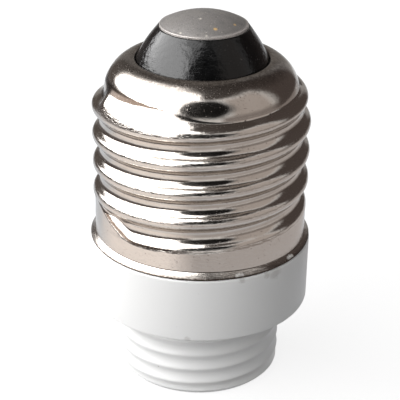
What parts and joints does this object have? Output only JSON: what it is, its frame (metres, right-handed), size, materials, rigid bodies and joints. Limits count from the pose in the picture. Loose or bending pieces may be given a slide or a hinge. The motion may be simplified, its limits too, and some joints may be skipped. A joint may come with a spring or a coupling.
{
  "type": "lamp socket adapter",
  "caption": "Adapter with a nickel screw cap, a black insulated centre contact and a white threaded neck that holds a small pin-base lamp.",
  "frame": {"origin": "centre of the neck's open face, on which the adapter stands", "axes": "+Z along the screw axis towards the centre contact, X along the row of lamp pins, -Y towards the picture's camera"},
  "size_m": [0.0272, 0.0272, 0.0463],
  "materials": {
    "white_moulding": "glossy white moulding",
    "nickel_shell": "bright nickel plate with fine pits and scratches",
    "black_insulator": "glossy black",
    "nickel_contact": "satin nickel, speckled",
    "clip_bronze": "bare spring bronze",
    "lead_copper": "bare copper wire",
    "lead_sleeve": "matt pale sleeve"
  },
  "bodies": {
    "root": {"socket_body": "white_moulding", "screw_shell": "nickel_shell", "contact_insulator": "black_insulator", "centre_contact": "nickel_contact", "contact_clip_left": "clip_bronze", "contact_clip_right": "clip_bronze", "centre_lead": "lead_copper", "centre_lead_sleeve": "lead_sleeve", "shell_lead": "lead_copper", "shell_lead_sleeve": "lead_sleeve"}
  },
  "joints": []
}
